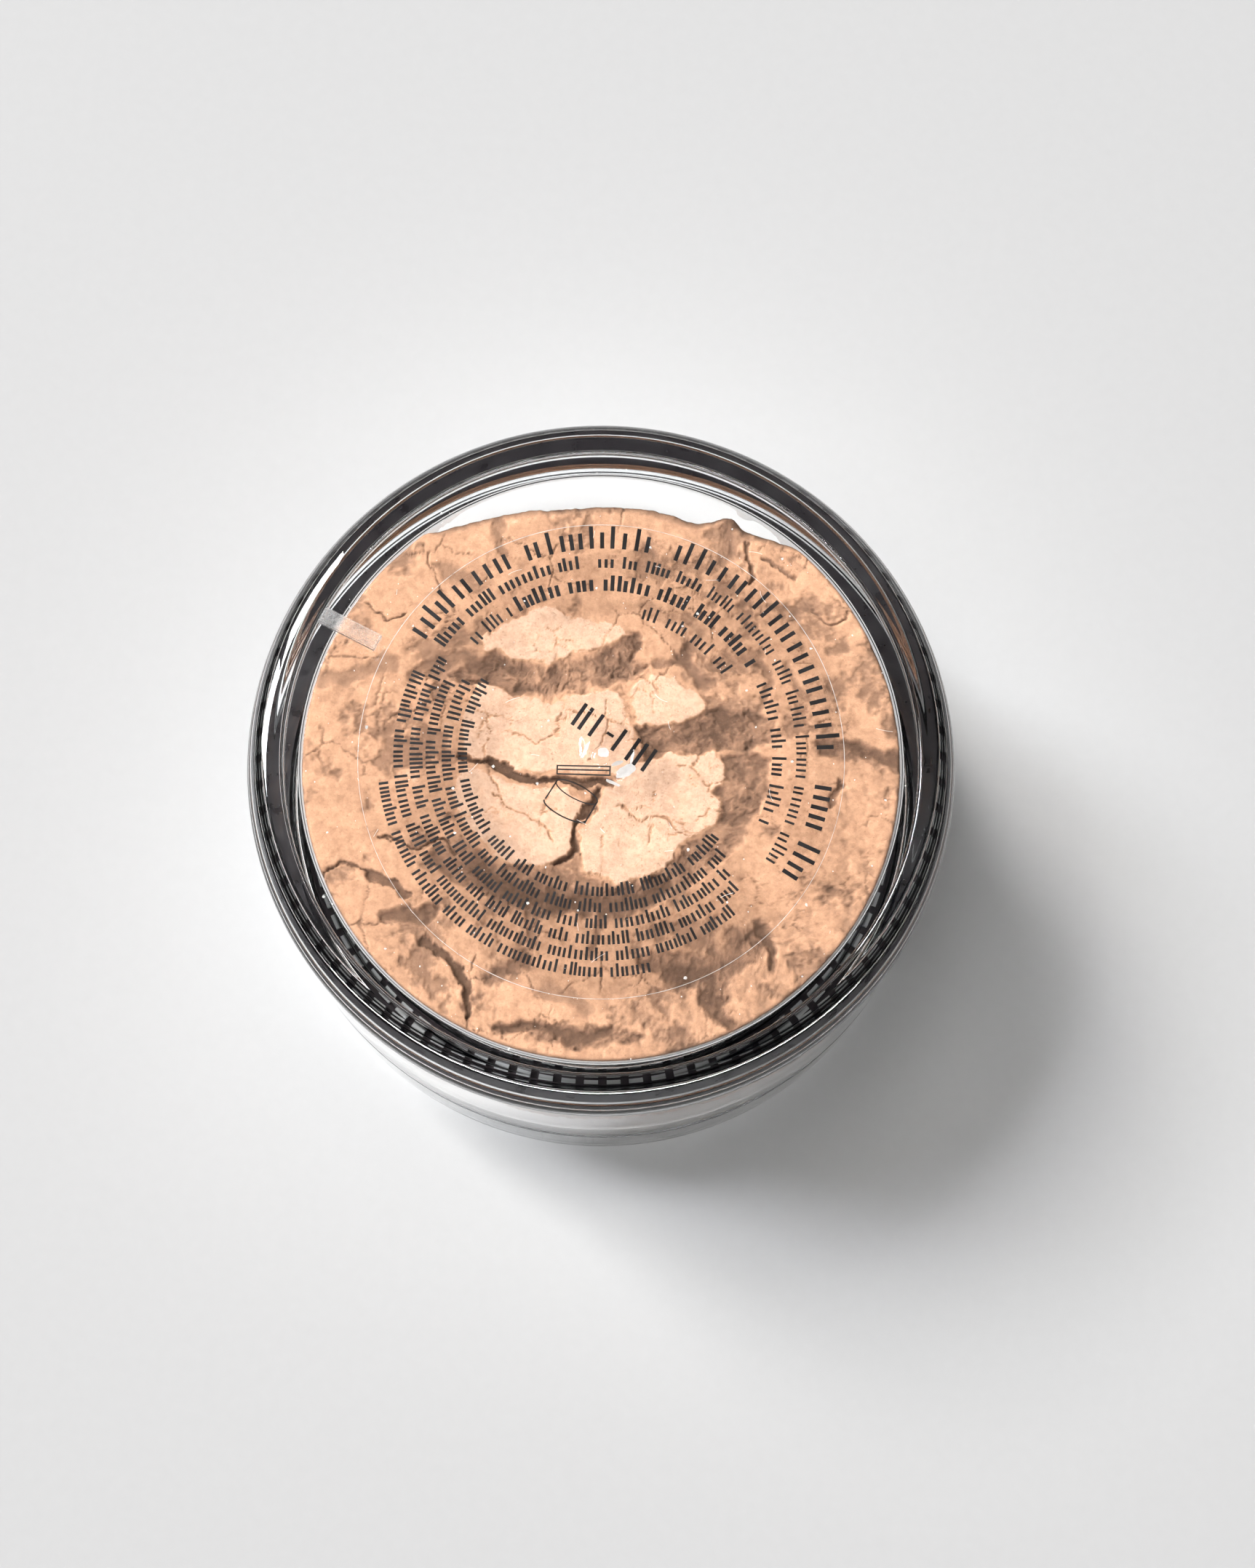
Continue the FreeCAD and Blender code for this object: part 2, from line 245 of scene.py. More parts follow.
class Slabs:
    """Collects many thin flat strips and flakes for one piece."""

    def __init__(self):
        self.verts, self.faces = [], []

    def slab(self, low_loop, thickness):
        """A closed prism on a loop of (x, y, z) points."""
        start, n = len(self.verts), len(low_loop)
        self.verts += [(x * MM, y * MM, z * MM) for x, y, z in low_loop]
        self.verts += [(x * MM, y * MM, (z + thickness) * MM) for x, y, z in low_loop]
        self.faces.append([start + i for i in reversed(range(n))])
        self.faces.append([start + n + i for i in range(n)])
        for i in range(n):
            j = (i + 1) % n
            self.faces.append([start + i, start + j, start + n + j, start + n + i])

    def strip(self, points, width, z, thickness):
        """A line of that width through (x, y) points."""
        path = np.array(points, float)
        along = np.gradient(path, axis=0)
        along /= np.linalg.norm(along, axis=1)[:, None]
        side = np.stack([-along[:, 1], along[:, 0]], 1) * width / 2
        loop = np.concatenate([path - side, (path + side)[::-1]])
        self.slab([(x, y, z) for x, y in loop], thickness)


# --- materials ---
class Nodes:
    """A short way to write a node tree."""

    def __init__(self, name):
        self.material = bpy.data.materials.new(name)
        self.material.use_nodes = True
        self.tree = self.material.node_tree
        self.shader = self.tree.nodes["Principled BSDF"]
        self.output = self.tree.nodes["Material Output"]

    def add(self, kind, **settings):
        """A node, with its inputs (by name, _ for a space) or its properties set."""
        node = self.tree.nodes.new("ShaderNode" + kind)
        for key, value in settings.items():
            words = key.replace("_", " ")
            if words in node.inputs:
                node.inputs[words].default_value = value
            else:
                setattr(node, key, value)
        return node

    def join(self, source, target):
        self.tree.links.new(source, target)

    def set(self, **settings):
        for key, value in settings.items():
            self.shader.inputs[key.replace("_", " ")].default_value = value

    def place(self):
        """Object coordinates, in metres."""
        return self.add("TexCoord").outputs["Object"]

    def noise(self, scale, detail=3.0, roughness=0.55):
        """Noise whose lumps are about 1 / scale metres."""
        node = self.add("TexNoise", Scale=scale, Detail=detail, Roughness=roughness)
        self.join(self.place(), node.inputs["Vector"])
        return node.outputs["Fac"]

    def ramp(self, source, stops, interpolation="LINEAR"):
        """A colour ramp of (place, value or colour) stops."""
        node = self.add("ValToRGB")
        ramp = node.color_ramp
        ramp.interpolation = interpolation
        while len(ramp.elements) < len(stops):
            ramp.elements.new(0.5)
        for element, (at, colour) in zip(ramp.elements, stops):
            element.position = at
            if isinstance(colour, (int, float)):
                colour = (colour, colour, colour)
            element.color = (*colour, 1)
        self.join(source, node.inputs["Fac"])
        return node.outputs["Color"]

    def span(self, source, low, high):
        """The source mapped so that low, in millimetres, is 0 and high is 1."""
        node = self.add("MapRange")
        node.inputs["From Min"].default_value = low * MM
        node.inputs["From Max"].default_value = high * MM
        self.join(source, node.inputs["Value"])
        return node.outputs[0]

    def mixed(self, factor, a, b, blend="MIX"):
        """A colour mix. factor, a and b are sockets or values."""
        node = self.add("MixRGB", blend_type=blend)
        for value, socket in ((factor, node.inputs[0]), (a, node.inputs[1]), (b, node.inputs[2])):
            if isinstance(value, bpy.types.NodeSocket):
                self.join(value, socket)
            elif isinstance(value, (int, float)):
                socket.default_value = value
            else:
                socket.default_value = (*value, 1)
        return node.outputs[0]

    def bump(self, height, strength, distance):
        node = self.add("Bump", Strength=strength, Distance=distance)
        self.join(height, node.inputs["Height"])
        self.join(node.outputs["Normal"], self.shader.inputs["Normal"])

    def blend(self, factor, first, second):
        """Ends the tree with a mix of two shaders: the first where the factor is 0."""
        mix = self.add("MixShader")
        self.join(factor, mix.inputs[0])
        self.join(first.outputs[0], mix.inputs[1])
        self.join(second.outputs[0], mix.inputs[2])
        self.join(mix.outputs[0], self.output.inputs["Surface"])

    def pass_light(self, colour):
        """Lets the lamps' light through, tinted, so that clear plastic casts no solid shadow."""
        clear = self.add("BsdfTransparent", Color=(*colour, 1))
        self.blend(self.add("LightPath").outputs["Is Shadow Ray"], self.shader, clear)


def clear_plastic(name, tint=(0.985, 0.99, 0.99), ior=1.57, wave=0.05):
    """Clear moulded plastic with slight moulding waves and scuffs. Lamps' light passes it."""
    n = Nodes(name)
    n.set(Transmission_Weight=1.0, IOR=ior)
    scuffs = n.ramp(n.noise(900, 5, 0.7), [(0.0, 0.0), (0.62, 0.0), (0.8, 0.06)])
    n.join(scuffs, n.shader.inputs["Roughness"])
    n.join(n.mixed(n.noise(120), tint, tuple(0.985 * c for c in tint)), n.shader.inputs["Base Color"])
    n.bump(n.noise(140, 1.0, 0.4), wave, 0.0004)
    n.pass_light((0.985, 0.99, 0.995))
    return n.material


def frosted_plastic():
    """The key's textured faces: clear plastic with a fine spark-eroded grain."""
    n = Nodes("frosted_plastic")
    n.set(Transmission_Weight=0.82, IOR=1.57, Base_Color=(0.97, 0.96, 0.95, 1))
    n.join(n.ramp(n.noise(2600, 4, 0.7), [(0.35, 0.12), (0.7, 0.5)]), n.shader.inputs["Roughness"])
    n.bump(n.noise(5200, 3, 0.7), 0.6, 0.00003)
    n.pass_light((0.9, 0.9, 0.9))
    return n.material


def film_material():
    """Clear label film: only a faint gloss, on its outer faces."""
    n = Nodes("label_film")
    clear = n.add("BsdfTransparent", Color=(0.99, 0.99, 0.99, 1))
    gloss = n.add("BsdfGlossy", Color=(1, 1, 1, 1), Roughness=0.1)
    uneven = n.add("Bump", Strength=0.3, Distance=0.00003)
    n.join(n.noise(700, 2.0), uneven.inputs["Height"])
    n.join(uneven.outputs["Normal"], gloss.inputs["Normal"])
    n.join(n.ramp(n.noise(1500), [(0.35, 0.06), (0.7, 0.2)]), gloss.inputs["Roughness"])
    share = n.add("Fresnel", IOR=1.4)
    outer = n.add("NewGeometry").outputs["Backfacing"]
    front_only = n.mixed(outer, share.outputs[0], (0.0, 0.0, 0.0))
    path = n.add("LightPath")
    n.blend(n.mixed(path.outputs["Is Shadow Ray"], front_only, (0.0, 0.0, 0.0)), clear, gloss)
    n.tree.nodes.remove(n.shader)
    return n.material


def moulded_nodes(name, colour, roughness=0.35, grain=2500.0, depth=0.15, vary=0.25):
    """Opaque moulded plastic with slight colour and gloss variation and a fine grain, as a node tree."""
    n = Nodes(name)
    low = tuple(c * (1 - vary) for c in colour)
    n.join(n.mixed(n.noise(250, 4), low, colour), n.shader.inputs["Base Color"])
    n.join(n.ramp(n.noise(600, 4), [(0.3, roughness * 0.8), (0.7, min(1.0, roughness * 1.3))]),
           n.shader.inputs["Roughness"])
    n.bump(n.noise(grain, 3), depth, 0.00002)
    return n


def moulded(*settings):
    return moulded_nodes(*settings).material


def dust_and_glint_material(name, clear_share):
    """Pale white, partly see-through: real dust, and painted highlights on the film's cut edge and
    blister.
    """
    n = Nodes(name)
    n.join(n.mixed(n.noise(2000), (0.85, 0.83, 0.80), (1.0, 0.99, 0.97)), n.shader.inputs["Base Color"])
    n.set(Roughness=0.6)
    share = n.ramp(n.noise(900, 3), [(0.3, clear_share), (0.7, min(1.0, clear_share + 0.3))])
    n.blend(share, n.shader, n.add("BsdfTransparent", Color=(1, 1, 1, 1)))
    return n.material


DEPTH_SHADE_SPAN = 0.95         # depth over which the powder goes from its palest, through painted shade in the hollows, to its side's colour
TONE_WOBBLE = 0.10       # how much noise moves that depth


def powder_material():
    """Powder coloured by its depth under the base: palest where it is pressed against the plastic, and
    darker with depth as painted shade in the hollows and cracks.
    """
    n = Nodes("pressed_powder_depth_shade")
    parts = n.add("SeparateXYZ")
    n.join(n.place(), parts.inputs[0])
    wobble = n.add("Math", operation="MULTIPLY_ADD")
    n.join(n.noise(900, 5, 0.65), wobble.inputs[0])
    wobble.inputs[1].default_value = TONE_WOBBLE * MM
    n.join(parts.outputs["Z"], wobble.inputs[2])
    top = POWDER_TOP + TONE_WOBBLE / 2
    height = n.span(wobble.outputs[0], top - DEPTH_SHADE_SPAN, top)
    # Painted shade: the deeper the cake lies under the base, the darker its colour, down to the side's
    # own colour.
    base = n.ramp(height, [
        (0.00, (0.42, 0.240, 0.158)),
        (0.12, (0.085, 0.048, 0.030)),
        (0.46, (0.105, 0.060, 0.038)),
        (0.64, (0.175, 0.100, 0.064)),
        (0.80, (0.265, 0.152, 0.095)),
        (0.895, (0.372, 0.212, 0.130)),
        (0.945, (0.425, 0.248, 0.153)),
        (0.975, (0.480, 0.312, 0.216)),
        (1.00, (0.485, 0.325, 0.232)),
    ])

    def mottle(noise, low_at, high_at, dark, light):
        return n.mixed(n.ramp(noise, [(low_at, 0.0), (high_at, 1.0)]), dark, light)

    clouds = mottle(n.noise(420, 6, 0.7), 0.3, 0.7, (0.84, 0.82, 0.80), (1.08, 1.07, 1.06))
    grain = mottle(n.noise(1500, 8, 0.8), 0.40, 0.60, (0.86, 0.84, 0.82), (1.13, 1.13, 1.13))
    colour = n.mixed(1.0, n.mixed(1.0, base, clouds, "MULTIPLY"), grain, "MULTIPLY")
    patches = mottle(n.noise(300, 8, 0.78), 0.40, 0.60, (0.66, 0.64, 0.62), (1.14, 1.13, 1.12))
    on_side = n.ramp(height, [(0.0, 1.0), (0.08, 0.0)])
    colour = n.mixed(on_side, colour, n.mixed(1.0, colour, patches, "MULTIPLY"))
    specks = n.ramp(n.noise(5200, 2, 0.6), [(0.62, 0.0), (0.74, 0.6)])
    colour = n.mixed(specks, colour, (0.20, 0.10, 0.06))
    n.join(colour, n.shader.inputs["Base Color"])
    n.join(n.ramp(n.noise(3000), [(0.3, 0.85), (0.7, 1.0)]), n.shader.inputs["Roughness"])
    n.set(Specular_IOR_Level=0.15)
    n.bump(n.noise(4500, 4, 0.7), 0.4, 0.00004)
    return n.material


# --- jar ---
NECK_RIDGE_Z = (5.3, 8.7)                  # where a ridge starts and ends
RIDGE_ROOT, RIDGE_CREST = 1.4, 0.7         # its width at the root and at the crest
THREAD_ROW = 0.1         # height of a mesh row along the thread


def jar_outline():
    """The jar's section, from the cup's ceiling down to the lip and up round the outside to the base."""
    points = [(0, CUP_TOP_Z), (8, CUP_TOP_Z), (16, CUP_TOP_Z)]
    corner = CUP_CORNER_ROUND
    points += arc(CUP_BASE_R - corner, CUP_TOP_Z - corner, corner, 90, 0)
    points += arc(CUP_MOUTH_R + LIP_ROUND, LIP_Z + LIP_ROUND, LIP_ROUND, 180, 270, 5)
    points += arc(NECK_R - LIP_ROUND, LIP_Z + LIP_ROUND, LIP_ROUND, 270, 360, 5)[:-1]
    low, high = NECK_RIDGE_Z[0] - RIDGE_ROOT, NECK_RIDGE_Z[1] + RIDGE_ROOT - 0.15
    rows = int((high - low) / THREAD_ROW)      # fine rows where the thread runs
    points += [(NECK_R, low + (high - low) * i / rows) for i in range(rows + 1)]
    points += arc(NECK_R + NECK_ROOT_ROUND, SHOULDER_Z - NECK_ROOT_ROUND, NECK_ROOT_ROUND, 180, 90, 6)[1:]
    points += arc(BODY_R - WALL_ROUND, SHOULDER_Z + WALL_ROUND, WALL_ROUND, -90, 0, 6)
    edge, crest = FOOT_EDGE_ROUND, FOOT_CREST_ROUND
    points += arc(BODY_R - edge, TOTAL_H - edge, edge, 0, 90, 30)
    points += arc(FOOT_RING_IN_R + crest, TOTAL_H - crest, crest, 90, 180, 8)
    points += [(FOOT_RING_IN_R, BASE_Z), (16, BASE_Z), (8, BASE_Z)]
    points += [(r, BASE_Z) for r in (3, 1.2, GATE_R, 0.7, 0.6, 0.45, 0.2)]
    points += [(0, BASE_Z)]
    return with_support(points)


def jar_shape(radii, heights, angles):
    """Adds the neck's thread and the shallow round gate mark."""
    r, z = radii[0], heights[0]
    if abs(r - NECK_R) < 1e-6:
        centre = NECK_RIDGE_Z[0] + LEAD * angles / (2 * math.pi)
        spacing = LEAD / STARTS
        off = (z - centre + spacing / 2) % spacing - spacing / 2
        ridge = 1 - step(np.abs(off), RIDGE_CREST / 2, RIDGE_ROOT / 2)
        at = z - off
        ends = step(at, NECK_RIDGE_Z[0] - 0.2, NECK_RIDGE_Z[0] + 0.5)
        ends = ends * (1 - step(at, NECK_RIDGE_Z[1] - 0.5, NECK_RIDGE_Z[1] + 0.2))
        radii = radii + (NECK_CREST_R - NECK_R) * ridge * ends
    if abs(z - BASE_Z) < 1e-6 and r < GATE_R + 0.01:
        heights = heights + GATE_H * (1 - (r / (GATE_R + 0.01)) ** 4)
    return radii, heights


def key_tool():
    """The raised locating key, as an object that reaches into the base and the foot ring."""
    reach = FOOT_RING_IN_R + KEY_END_SINK
    bm = bmesh.new()
    bmesh.ops.create_cube(bm, size=1.0)
    bmesh.ops.scale(bm, vec=(reach - KEY_IN_R, KEY_W, KEY_H + KEY_SINK), verts=bm.verts)
    middle = ((reach + KEY_IN_R) / 2, 0, BASE_Z + (KEY_H - KEY_SINK) / 2)
    bmesh.ops.translate(bm, vec=middle, verts=bm.verts)
    top_edges = [e for e in bm.edges if all(v.co.z > BASE_Z + KEY_H - 0.01 for v in e.verts)]
    bmesh.ops.bevel(bm, geom=top_edges, offset=KEY_EDGE_ROUND, segments=3, affect="EDGES")
    bmesh.ops.scale(bm, vec=(MM, MM, MM), verts=bm.verts)
    bmesh.ops.rotate(bm, verts=bm.verts, matrix=Matrix.Rotation(math.radians(KEY_ANGLE), 3, "Z"))
    mesh = bpy.data.meshes.new("key_tool")
    bm.to_mesh(mesh)
    bm.free()
    tool = bpy.data.objects.new("key_tool", mesh)
    bpy.context.scene.collection.objects.link(tool)
    return tool


def on_key(face):
    """Whether a face of the jar belongs to the key."""
    x, y, z = (value / MM for value in face.center)
    if not BASE_Z + 0.02 < z < TOTAL_H - 0.1 or face.normal.z < -0.1:
        return False
    turn = math.radians(KEY_ANGLE)
    along = x * math.cos(turn) + y * math.sin(turn)
    across = y * math.cos(turn) - x * math.sin(turn)
    return KEY_IN_R - 0.1 < along < FOOT_RING_IN_R - 0.05 and abs(across) < KEY_W / 2 + 0.05


def add_key(body, materials):
    """Fuses the locating key into the base. The first material is the body's, the second the key's."""
    tool = key_tool()
    modifier = body.modifiers.new("key", "BOOLEAN")
    modifier.operation = "UNION"
    modifier.solver = "EXACT"
    modifier.object = tool
    graph = bpy.context.evaluated_depsgraph_get()
    fused = bpy.data.meshes.new_from_object(body.evaluated_get(graph))
    body.modifiers.clear()
    plain, body.data = body.data, fused
    tool_mesh = tool.data
    bpy.data.objects.remove(tool)
    bpy.data.meshes.remove(tool_mesh)
    bpy.data.meshes.remove(plain)
    fused.name = body.name
    fused.shade_smooth()
    fused.set_sharp_from_angle(angle=math.radians(SHARP_DEG))
    fused.materials.clear()
    for material in materials:
        fused.materials.append(material)
    for face in fused.polygons:
        face.material_index = 1 if on_key(face) else 0


def cap_outline():
    """The shell's section, from the sunk middle of its face round the outside to its inner face."""
    edge, lip = SHELL_EDGE_ROUND, SHELL_LIP_ROUND
    rim_in = BODY_R - edge - FACE_RIM_W
    points = [(0, FACE_SINK), (rim_in, FACE_SINK), (rim_in + 2 * FACE_SINK, 0)]
    points += arc(BODY_R - edge, edge, edge, -90, 0, 14)
    points += arc(BODY_R - lip, SHELL_TOP - lip, lip, 0, 90, 8)
    points += [(SHELL_IN_R, SHELL_TOP), (SHELL_IN_R, SHELL_FACE_T), (0, SHELL_FACE_T)]
    return with_support(points)


jar = lathe("jar_wall", jar_outline(), shape=jar_shape)
add_key(jar, (clear_plastic("clear_jar_plastic"), frosted_plastic()))
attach(jar, "jar")
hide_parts("jar_body")

shell = lathe("cap_shell", cap_outline())
shell.data.materials.append(clear_plastic("clear_cap_plastic"))
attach(shell, "cap")
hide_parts("outer_cap")


# --- powder ---
# Where the cake is pressed against the base it is palest.
PLATES = [
    [(-9.8, 9.4), (-6.5, 11.6), (-4, 12.3), (-2.6, 11.6), (1.2, 11), (1.9, 10.1), (-1.6, 8.4),
     (-4.2, 7.7), (-9.2, 8.3)],
    [(2.2, 5.6), (3.6, 6.9), (5.3, 7), (6.4, 6), (7.8, 5.2), (7.6, 4.2), (4.2, 3.2), (2.6, 3)],
    [(-9.8, 5.9), (-6.2, 5), (-4, 4.3), (-2, 5.4), (0.2, 5.9), (1.7, 5.1), (2, 2.8), (2.5, 1),
     (1.4, -0.9), (-2.2, -1), (-6.5, -0.8), (-10.2, 0.2), (-10.6, 2.5)],
    [(2.4, 0), (5.5, 0.7), (8.6, 1), (9.4, 0.2), (9.2, -1.6), (8.5, -2.1), (9.2, -3), (9, -4.6),
     (6.4, -5.7), (5.6, -7.5), (4, -8.8), (1.6, -9.4), (-0.6, -8.6), (-1.4, -7.2), (-1.2, -5.4),
     (-0.1, -3.4), (0.4, -1.9)],
    [(-10.4, -0.9), (-6.5, -1.8), (-4.4, -2.5), (-2.6, -2.3), (-0.6, -3.2), (-1.6, -5), (-2, -7),
     (-4, -8.2), (-6.4, -8.3), (-8.2, -7.2), (-10.2, -5), (-11, -3)],
]
# Hollows, grey-brown from the painted shade that the powder's colour takes with depth: how deep each is
# from 0 to 1, and its outline.
HOLLOWS = [
    (1.0, [(-12.4, 6.6), (-10.6, 7.4), (-9, 7.9), (-4.4, 7.4), (-1.6, 8), (0.8, 9.3), (2.4, 10.4),
        (3.2, 9.6), (2.2, 8.4), (3.4, 7.6), (2.4, 6.6), (0.6, 6.4), (-2.2, 5.9), (-4, 4.8),
        (-6.4, 5.4), (-9.6, 5.6)]),
    (1.0, [(2.2, 2.9), (4.2, 3), (7, 3.9), (8.6, 4.7), (11.4, 4.6), (13, 3.6), (13, 2), (11, 1.2),
        (9.4, 1.3), (5.6, 0.9), (3.4, 0.4)]),
    (0.85, [(9.3, 0.9), (11.4, 1.2), (12.8, 0.6), (13, -1.4), (12, -4), (10.6, -6.2), (8.9, -8),
        (6.4, -9.8), (4.6, -9.6), (6.2, -7.2), (6.9, -6), (9.2, -5), (9.6, -3), (8.9, -2.2),
        (9.6, -1.4)]),
    (0.65, [(5.4, -9.2), (2.4, -9.9), (-0.8, -9), (-2.2, -8.4), (-4.6, -8.8), (-7.6, -8.2),
        (-10.4, -6.4), (-12.6, -6.8), (-13.2, -8.6), (-10.6, -9.6), (-7.6, -10.8),
        (-4.6, -11.7), (-1.2, -11.6), (2.2, -11.3), (5.2, -10.8)]),
    (0.75, [(3, -14.4), (6, -14.2), (9, -14.8), (10.6, -13.4), (12.8, -11.8), (13.8, -12.6),
        (12.2, -14.8), (10.2, -16.2), (10.2, -18.2), (8.6, -18.6), (7.8, -16.6), (3.6, -15.8)]),
    (0.8, [(-4.6, -20.7), (-1.6, -20.4), (1.6, -20.2), (4.2, -20.6), (3.6, -21.4), (0.2, -21.8),
        (-3.6, -21.6)]),
]
# Cracks and smaller hollows: a centre line, half its width, and how deep it is from 0 to 1.
FURROWS = [
    ([(5.2, -9.6), (2, -10.8), (-1, -11.2), (-4.2, -10.8), (-7, -9.8), (-9.2, -8.2)], 0.85, 1.0),
    ([(0.6, -11.4), (0, -13.6), (-0.4, -15)], 0.35, 0.6),
    ([(-0.2, -2.4), (-1.5, -4.6), (-1.7, -6.8), (-3.2, -8)], 0.22, 1.0),
    ([(-10.6, 0.2), (-8.4, -0.5), (-6, -1.3), (-4, -1.8), (-1.6, -1.6), (0.6, -1.8)], 0.28, 1.0),
    ([(-17.2, -9.4), (-15.4, -9.8), (-14.2, -10.8)], 0.3, 0.7),
    ([(-15.6, -12.6), (-14, -12.1), (-12.2, -12)], 0.65, 0.9),
    ([(-12.8, -14.4), (-11, -15.6), (-9.2, -17.2), (-9.1, -19.6)], 0.28, 0.9),
    ([(-7.4, -16.4), (-5.2, -15.7)], 0.55, 0.8),
    ([(-3.2, -17.6), (-0.8, -18.8)], 0.7, 0.5),
    ([(-6.8, -20.4), (-4, -20.5), (-1, -21), (1.6, -20.4)], 0.42, 1.0),
    ([(5.8, -16.2), (8.6, -15.9), (8.6, -18), (9.8, -19.6)], 0.6, 0.9),
    ([(17.2, 1.9), (20, 1.4), (22.6, 0.7)], 0.75, 1.0),
    ([(12.4, -12.2), (13.4, -13.8), (13.2, -15.4)], 0.45, 0.9),
    ([(-22, 5.6), (-20, 6.3), (-18, 6.6), (-16.4, 7.2)], 0.6, 0.45),
    ([(-8.7, 18.8), (-8.3, 16.4)], 0.4, 0.5),
    ([(9.2, 19.6), (8.9, 16.8)], 0.7, 0.5),
    ([(10.6, 17.8), (10.9, 15)], 0.2, 0.6),
    ([(6.4, 8.8), (7.6, 6.4)], 0.7, 0.8),
    ([(4.2, 7.8), (6.6, 8.4)], 0.45, 0.7),
    ([(-12.8, 15.4), (-10.2, 13.4)], 0.6, 0.45),
    ([(-14.8, 6.5), (-12, 7.4), (-9.8, 7.3)], 0.6, 0.6),
    ([(13.8, 7.8), (15.4, 6.2)], 0.5, 0.5),
    ([(17.4, -2.6), (18.4, -0.8)], 0.3, 0.5),
    ([(3.2, 12.6), (5.6, 11.8), (7.4, 10.2)], 0.5, 0.35),
    ([(11.6, 4), (12.6, 6.8), (12, 9.2)], 0.35, 0.5),
    ([(14.4, 15.2), (12, 16.8)], 0.15, 0.5),
    ([(1.6, -3.4), (3, -4.6), (4.6, -4.2), (6.4, -5.3)], 0.05, 0.6),
    ([(-8.2, -2.9), (-5.4, -4.4), (-4, -5.2), (-3.6, -6)], 0.05, 0.6),
    ([(-6.8, 1.9), (-5, 1.5), (-3.6, 2.5), (-3.2, 3.6)], 0.04, 0.5),
    ([(-16.6, -6.4), (-13.8, -7), (-12, -6.4), (-10.8, -7.6)], 0.07, 0.6),
    ([(-21, -9.8), (-19.4, -8.6), (-17.4, -9.2)], 0.08, 0.6),
    ([(-18.6, 11.6), (-17, 10.6), (-15.6, 11)], 0.06, 0.5),
    ([(15.6, 12.8), (17.6, 11.6), (19, 12.6)], 0.07, 0.5),
]
WIDE_FURROW = 0.4        # half width from which a furrow counts as wide
CRACK = 0.35             # and below which it is a crack
CAKE_FALL = 0.53         # depth of the deepest hollow
CAKE_GRID = 400          # mesh points across the cake's top
CAKE_EDGE_ROUND = 0.45


def sunk(tone, floor, away, inner, outer):
    """The tone lowered towards the floor where away is negative, with a soft edge."""
    return np.minimum(tone, floor + (tone - floor) * step(away, -inner, outer))


def veins(wx, wy, size, seed, width):
    """A net of thin lines: 1 on a line, 0 off it."""
    first, second = cells(wx, wy, size, seed)
    return 1 - step(second - first, 0.0, width)


def loose_tone(x, y):
    """The tone of the cake away from its plates and hollows, with dusky clouds."""
    tone = 0.66 + 0.12 * rough(x, y, 5.0, 31, 5, 0.62) + 0.10 * rough(x, y, 0.7, 41, 3, 0.7)
    clouds = step(rough(x, y, 3.2, 51, 6, 0.68), 0.06, 0.42)
    return np.clip(tone - 0.34 * clouds, 0.22, 0.78)


def hollowed(tone, x, y, wx, wy):
    """Sinks the hollows, whose beds are mottled and whose edges are patchy."""
    bed = np.clip(0.20 + 0.62 * rough(wx, wy, 1.3, 61, 6, 0.74), 0.02, 0.60)
    patchy = 0.55 * rough(x, y, 2.4, 69, 4, 0.6)
    for depth, outline in HOLLOWS:
        away = patch_distance(wx, wy, outline) + (1.4 - depth) * patchy
        tone = sunk(tone, tone + (bed - tone) * depth, away, 0.25, 0.30)
    return tone


def furrowed(tone, x, y, wx, wy, ragged):
    """Sinks the furrows. The wide ones wander more."""
    fx = wx + 0.7 * rough(x, y, 2.2, 65, 3)
    fy = wy + 0.7 * rough(x, y, 2.2, 67, 3)
    for line, half, depth in FURROWS:
        px, py = (fx, fy) if half > WIDE_FURROW else (wx, wy)
        away = stroke_distance(px, py, line) - half * ragged
        soft = 0.5 * min(half, 0.8) + 0.04
        tone = sunk(tone, tone * (1 - depth * 0.85), away, soft, soft)
    return tone


def pressed(tone, x, y, wx, wy):
    """Raises the plates to nearly full contact."""
    plate = 0.95 + 0.06 * rough(x, y, 1.6, 71)
    for outline in PLATES:
        away = patch_distance(wx, wy, outline)
        tone = tone + (plate - tone) * (1 - step(away, -0.14, 0.12))
    return tone


def cracked(tone, x, y, wx, wy, ragged):
    """Cuts the listed cracks, also across plates, and two nets of hairline cracks in places."""
    for line, half, depth in FURROWS:
        if half < CRACK:
            away = stroke_distance(wx, wy, line) - half * ragged
            tone = tone * (1 - depth * 0.8 * (1 - step(away, -0.03, 0.06)))
    coarse = veins(wx, wy, 4.2, 81, 0.035) * step(rough(x, y, 4.0, 91), 0.02, 0.3)
    tone = tone * (1 - 0.45 * coarse)
    fine = veins(wx, wy, 1.7, 83, 0.06) * step(rough(x, y, 3.0, 95), 0.15, 0.45)
    return tone * (1 - 0.35 * fine)


def crumbled(tone, x, y, wx, wy):
    """Roughens the outer part of the cake at the right and the near side, and adds crumbs there."""
    outer = step(np.hypot(x, y), 14.0, 20.0)
    crumbly = outer * step(rough(x, y, 4.5, 101) + 0.02 * (x - y), 0.0, 0.5)
    tone = tone - 0.30 * crumbly * np.abs(rough(wx, wy, 0.9, 85, 4, 0.6))
    crumbs = step(-cells(wx, wy, 1.3, 87)[0], -0.32, -0.18) * step(rough(x, y, 5.0, 89), -0.1, 0.3)
    return tone + 0.08 * crumbs * crumbly


def powder_tone(x, y):
    """How firmly the cake touches the base: 1 on a plate, about 0.6 elsewhere, 0 in a deep hollow."""
    wx = x + 0.70 * rough(x, y, 1.7, 11, 5, 0.68)      # edges wander by this
    wy = y + 0.70 * rough(x, y, 1.7, 21, 5, 0.68)
    ragged = 0.35 + 1.3 * (0.5 + 0.5 * rough(x, y, 1.8, 63, 4, 0.6))
    tone = loose_tone(x, y)
    tone = hollowed(tone, x, y, wx, wy)
    tone = furrowed(tone, x, y, wx, wy, ragged)
    tone = pressed(tone, x, y, wx, wy)
    tone = cracked(tone, x, y, wx, wy, ragged)
    tone = crumbled(tone, x, y, wx, wy)
    return np.clip(tone, 0, 1)


